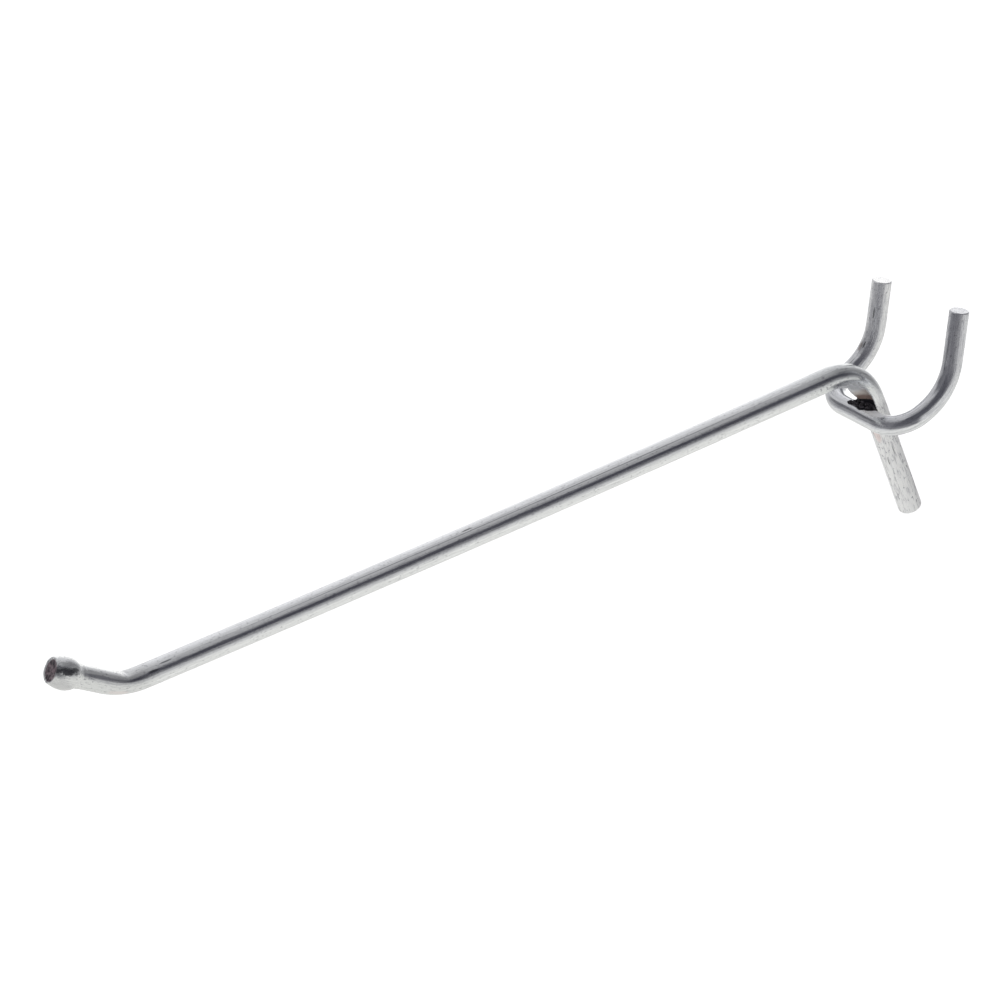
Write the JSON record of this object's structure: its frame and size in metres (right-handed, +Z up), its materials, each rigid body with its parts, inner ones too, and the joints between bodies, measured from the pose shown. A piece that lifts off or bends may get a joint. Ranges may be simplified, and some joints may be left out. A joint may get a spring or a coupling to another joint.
{
  "type": "pegboard hook",
  "caption": "Welded wire pegboard hook: a long arm with an upturned, headed tip, a leg that props it on the board, and a yoke of prongs that hooks through the board's holes.",
  "frame": {"origin": "on the back of the leg where it leans on the board, midway between the two short legs and level with them where they enter the board's front face", "axes": "+Y into the board, so the arm points along -Y; +Z up as the hook hangs; +X across, along the line of the board's holes"},
  "size_m": [0.0296, 0.2244, 0.11],
  "materials": {
    "arm_zinc": "bright zinc plate on drawn wire",
    "prong_zinc": "bright zinc plate on drawn wire",
    "weld_scorch": "scorched weld scale"
  },
  "bodies": {
    "root": {"arm_wire": "arm_zinc", "prong_wire": "prong_zinc", "weld_flash": "weld_scorch"}
  },
  "joints": []
}
